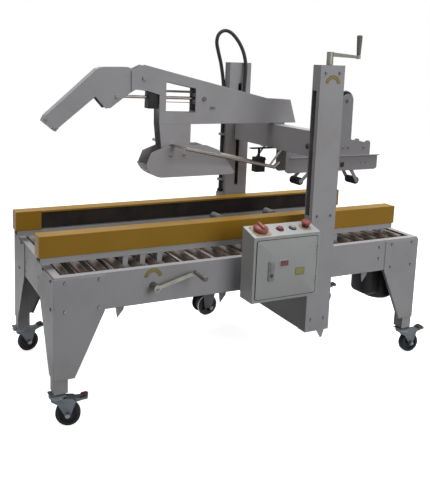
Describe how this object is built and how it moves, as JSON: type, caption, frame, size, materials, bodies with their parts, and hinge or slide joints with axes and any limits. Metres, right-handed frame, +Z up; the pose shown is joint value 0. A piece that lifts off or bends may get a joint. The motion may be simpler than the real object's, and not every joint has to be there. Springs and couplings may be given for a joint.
{
  "type": "carton sealer",
  "caption": "Side-belt carton sealer on casters: roller bed between width-adjustable drive belts, twin masts carrying a height-adjustable flap-folding boom and tape head.",
  "frame": {"origin": "on the floor under the middle of the machine's overall box", "axes": "+X along the conveyor from infeed to outfeed, +Y from the operator's side to the back, +Z up"},
  "size_m": [1.8796, 0.901, 1.5479],
  "materials": {
    "grey_paint": "powder coat, satin",
    "light_paint": "powder coat, satin",
    "yellow_paint": "powder coat, satin",
    "bright_steel": "turned",
    "zinc_rollers": "zinc plated tube",
    "chain_steel": "oiled",
    "rod_steel": "grey paint",
    "head_steel": "satin",
    "chrome_rod": "hard chrome",
    "cylinder_aluminium": "anodised barrel and dark heads",
    "red_plastic": "gloss",
    "grey_plastic": "matt",
    "black_plastic": "matt",
    "dark_grip": "matt",
    "black_rubber": "matt",
    "belt_rubber": "matt",
    "wheel_rubber": "matt",
    "motor_black": "gloss enamel",
    "caster_zinc": "zinc plated"
  },
  "bodies": {
    "frame": {"bed_frame": "grey_paint", "legs": "grey_paint", "leg_feet": "grey_paint", "front_mast": "grey_paint", "rear_mast": "grey_paint", "lower_crossbeam": "grey_paint", "lift_chain": "chain_steel", "guide_rods": "bright_steel", "bed_rollers": "zinc_rollers", "control_box": "light_paint", "cable_conduit": "black_plastic", "bottom_head_frame": "head_steel"},
    "infeed_roller_body": {"infeed_roller": "zinc_rollers"},
    "outfeed_roller_body": {"outfeed_roller": "zinc_rollers"},
    "door": {"control_door": "light_paint"},
    "main_switch": {"power_switch": "red_plastic"},
    "start_key": {"start_button": "grey_plastic"},
    "stop_key": {"stop_button": "red_plastic"},
    "emergency_key": {"emergency_stop": "red_plastic"},
    "front_lift": {"front_lift_screw": "bright_steel"},
    "height_grip": {"height_crank_grip": "dark_grip"},
    "rear_lift": {"rear_lift_screw": "bright_steel"},
    "head": {"head_beam": "grey_paint", "boom_plates": "grey_paint", "flap_hanger": "grey_paint", "flap_sled": "grey_paint", "side_flap_rods": "rod_steel", "flap_press_block": "black_rubber", "top_head_frame": "head_steel"},
    "kicker": {"kicker_arm": "grey_paint"},
    "cylinder": {"kicker_cylinder": "cylinder_aluminium"},
    "piston": {"cylinder_rod": "chrome_rod"},
    "top_in_arm": {"top_infeed_arm": "head_steel"},
    "top_in_roller": {"top_infeed_roller": "black_rubber"},
    "top_out_arm": {"top_outfeed_arm": "head_steel"},
    "top_out_roller": {"top_outfeed_roller": "black_rubber"},
    "top_core": {"top_tape_hub": "black_plastic"},
    "bottom_in_arm": {"bottom_infeed_arm": "head_steel"},
    "bottom_out_arm": {"bottom_outfeed_arm": "head_steel"},
    "bottom_core": {"bottom_tape_hub": "black_plastic"},
    "front_unit": {"front_belt_base": "light_paint", "front_belt_cover": "yellow_paint", "front_belt": "belt_rubber", "front_motor": "motor_black"},
    "front_pulley": {"front_drive_pulley": "bright_steel"},
    "rear_unit": {"rear_belt_base": "light_paint", "rear_belt_cover": "yellow_paint", "rear_belt": "belt_rubber", "rear_motor": "motor_black"},
    "rear_pulley": {"rear_drive_pulley": "bright_steel"},
    "width_drive": {"width_screw": "bright_steel"},
    "width_grip": {"width_crank_grip": "dark_grip"},
    "caster_1": {"caster_fork_1": "caster_zinc"},
    "wheel_1": {"caster_wheel_1": "wheel_rubber"},
    "caster_2": {"caster_fork_2": "caster_zinc"},
    "wheel_2": {"caster_wheel_2": "wheel_rubber"},
    "caster_3": {"caster_fork_3": "caster_zinc"},
    "wheel_3": {"caster_wheel_3": "wheel_rubber"},
    "caster_4": {"caster_fork_4": "caster_zinc"},
    "wheel_4": {"caster_wheel_4": "wheel_rubber"}
  },
  "joints": [
    {"name": "height_crank_turn", "type": "hinge", "parent": "frame", "child": "front_lift", "pos_m": [0.2545, -0.321, 0.8], "axis": [0, 0, 1], "range_deg": [-6480, 4320]},
    {"name": "head_lift", "type": "slide", "parent": "frame", "child": "head", "axis": [0, 0, 1], "range_m": [-0.18, 0.12], "deforming": ["cable_conduit"]},
    {"name": "rear_screw_turn", "type": "hinge", "parent": "frame", "child": "rear_lift", "pos_m": [0.2545, 0.425, 0.8], "axis": [0, 0, 1], "range_deg": [-6480, 4320]},
    {"name": "height_grip_spin", "type": "hinge", "parent": "front_lift", "child": "height_grip", "pos_m": [0.4045, -0.321, 1.424], "axis": [0, 0, 1], "continuous": true},
    {"name": "width_crank_turn", "type": "hinge", "parent": "frame", "child": "width_drive", "pos_m": [-0.514, -0.3335, 0.507], "axis": [0, 1, 0], "range_deg": [-720, 3960]},
    {"name": "front_unit_shift", "type": "slide", "parent": "frame", "child": "front_unit", "axis": [0, 1, 0], "range_m": [-0.02, 0.11]},
    {"name": "rear_unit_shift", "type": "slide", "parent": "frame", "child": "rear_unit", "axis": [0, 1, 0], "range_m": [-0.11, 0.02]},
    {"name": "width_grip_spin", "type": "hinge", "parent": "width_drive", "child": "width_grip", "pos_m": [-0.34786, -0.3555, 0.55152], "axis": [0, 1, 0], "continuous": true},
    {"name": "front_pulley_turn", "type": "hinge", "parent": "front_unit", "child": "front_pulley", "pos_m": [0.7576, -0.158, 0.65], "axis": [0, 0, 1], "continuous": true},
    {"name": "rear_pulley_turn", "type": "hinge", "parent": "rear_unit", "child": "rear_pulley", "pos_m": [0.7576, 0.262, 0.65], "axis": [0, 0, 1], "continuous": true},
    {"name": "kicker_swing", "type": "hinge", "parent": "head", "child": "kicker", "pos_m": [-0.438, 0.052, 1.303], "axis": [0, -1, 0], "range_deg": [0, 26]},
    {"name": "cylinder_tilt", "type": "hinge", "parent": "head", "child": "cylinder", "pos_m": [-0.151, 0.052, 1.215], "axis": [0, -1, 0], "range_deg": [0, 6.91]},
    {"name": "piston_stroke", "type": "slide", "parent": "cylinder", "child": "piston", "axis": [0.9998, 0, -0.0221], "range_m": [0, 0.04512]},
    {"name": "top_infeed_press", "type": "hinge", "parent": "head", "child": "top_in_arm", "pos_m": [0.4925, 0.052, 0.89], "axis": [0, 1, 0], "range_deg": [0, 22], "stiffness_Nm_per_rad": 2.5, "springref_deg": -28.65},
    {"name": "top_infeed_roller_turn", "type": "hinge", "parent": "top_in_arm", "child": "top_in_roller", "pos_m": [0.3905, 0.052, 0.816], "axis": [0, 1, 0], "continuous": true},
    {"name": "top_outfeed_press", "type": "hinge", "parent": "head", "child": "top_out_arm", "pos_m": [0.6645, 0.052, 0.89], "axis": [0, -1, 0], "range_deg": [0, 22], "stiffness_Nm_per_rad": 2.5, "springref_deg": -28.65},
    {"name": "top_outfeed_roller_turn", "type": "hinge", "parent": "top_out_arm", "child": "top_out_roller", "pos_m": [0.7345, 0.052, 0.804], "axis": [0, 1, 0], "continuous": true},
    {"name": "top_core_turn", "type": "hinge", "parent": "head", "child": "top_core", "pos_m": [0.6355, 0.052, 1.208], "axis": [0, 1, 0], "continuous": true},
    {"name": "bottom_infeed_press", "type": "hinge", "parent": "frame", "child": "bottom_in_arm", "pos_m": [0.054, 0.052, 0.55], "axis": [0, -1, 0], "range_deg": [0, 28], "stiffness_Nm_per_rad": 3, "springref_deg": -51.57},
    {"name": "bottom_outfeed_press", "type": "hinge", "parent": "frame", "child": "bottom_out_arm", "pos_m": [0.152, 0.052, 0.55], "axis": [0, 1, 0], "range_deg": [0, 28], "stiffness_Nm_per_rad": 3, "springref_deg": -51.57},
    {"name": "bottom_core_turn", "type": "hinge", "parent": "frame", "child": "bottom_core", "pos_m": [-0.096, 0.052, 0.254], "axis": [0, 1, 0], "continuous": true},
    {"name": "infeed_roller_turn", "type": "hinge", "parent": "frame", "child": "infeed_roller_body", "pos_m": [-0.8506, 0.052, 0.563], "axis": [0, 1, 0], "continuous": true},
    {"name": "outfeed_roller_turn", "type": "hinge", "parent": "frame", "child": "outfeed_roller_body", "pos_m": [0.795, 0.052, 0.563], "axis": [0, 1, 0], "continuous": true},
    {"name": "door_swing", "type": "hinge", "parent": "frame", "child": "door", "pos_m": [0.158, -0.4425, 0.565], "axis": [0, 0, 1], "range_deg": [0, 110]},
    {"name": "main_switch_turn", "type": "hinge", "parent": "frame", "child": "main_switch", "pos_m": [-0.09394, -0.3935, 0.713], "axis": [0, -0.2775, 0.9607], "range_deg": [-90, 0]},
    {"name": "stop_press", "type": "slide", "parent": "frame", "child": "stop_key", "axis": [0, 0.2775, -0.9607], "range_m": [0, 0.004], "stiffness_N_per_m": 900, "springref_m": -0.002},
    {"name": "start_press", "type": "slide", "parent": "frame", "child": "start_key", "axis": [0, 0.2775, -0.9607], "range_m": [0, 0.004], "stiffness_N_per_m": 900, "springref_m": -0.002},
    {"name": "emergency_press", "type": "slide", "parent": "frame", "child": "emergency_key", "axis": [0, 0.2775, -0.9607], "range_m": [0, 0.006]},
    {"name": "caster_1_swivel", "type": "hinge", "parent": "frame", "child": "caster_1", "pos_m": [-0.894, -0.2855, 0.113], "axis": [0, 0, 1], "continuous": true},
    {"name": "wheel_1_roll", "type": "hinge", "parent": "caster_1", "child": "wheel_1", "pos_m": [-0.85453, -0.29986, 0.048], "axis": [0.342, 0.9397, 0], "continuous": true},
    {"name": "caster_2_swivel", "type": "hinge", "parent": "frame", "child": "caster_2", "pos_m": [0.822, -0.2855, 0.113], "axis": [0, 0, 1], "continuous": true},
    {"name": "wheel_2_roll", "type": "hinge", "parent": "caster_2", "child": "wheel_2", "pos_m": [0.86384, -0.28916, 0.048], "axis": [0.0872, 0.9962, 0], "continuous": true},
    {"name": "caster_3_swivel", "type": "hinge", "parent": "frame", "child": "caster_3", "pos_m": [-0.894, 0.3895, 0.113], "axis": [0, 0, 1], "continuous": true},
    {"name": "wheel_3_roll", "type": "hinge", "parent": "caster_3", "child": "wheel_3", "pos_m": [-0.85241, 0.39535, 0.048], "axis": [-0.1392, 0.9903, 0], "continuous": true},
    {"name": "caster_4_swivel", "type": "hinge", "parent": "frame", "child": "caster_4", "pos_m": [0.822, 0.3895, 0.113], "axis": [0, 0, 1], "continuous": true},
    {"name": "wheel_4_roll", "type": "hinge", "parent": "caster_4", "child": "wheel_4", "pos_m": [0.86308, 0.38077, 0.048], "axis": [0.2079, 0.9781, 0], "continuous": true}
  ],
  "couplings": [
    {"joint": "head_lift", "follows": "height_crank_turn", "m_per_rad": 0.0015915},
    {"joint": "rear_screw_turn", "follows": "height_crank_turn", "ratio": 1},
    {"joint": "front_unit_shift", "follows": "width_crank_turn", "m_per_rad": 0.0015915},
    {"joint": "rear_unit_shift", "follows": "width_crank_turn", "m_per_rad": -0.0015915},
    {"joint": "cylinder_tilt", "follows": "kicker_swing", "ratio": 0.26586},
    {"joint": "piston_stroke", "follows": "kicker_swing", "m_per_rad": 0.09943}
  ]
}
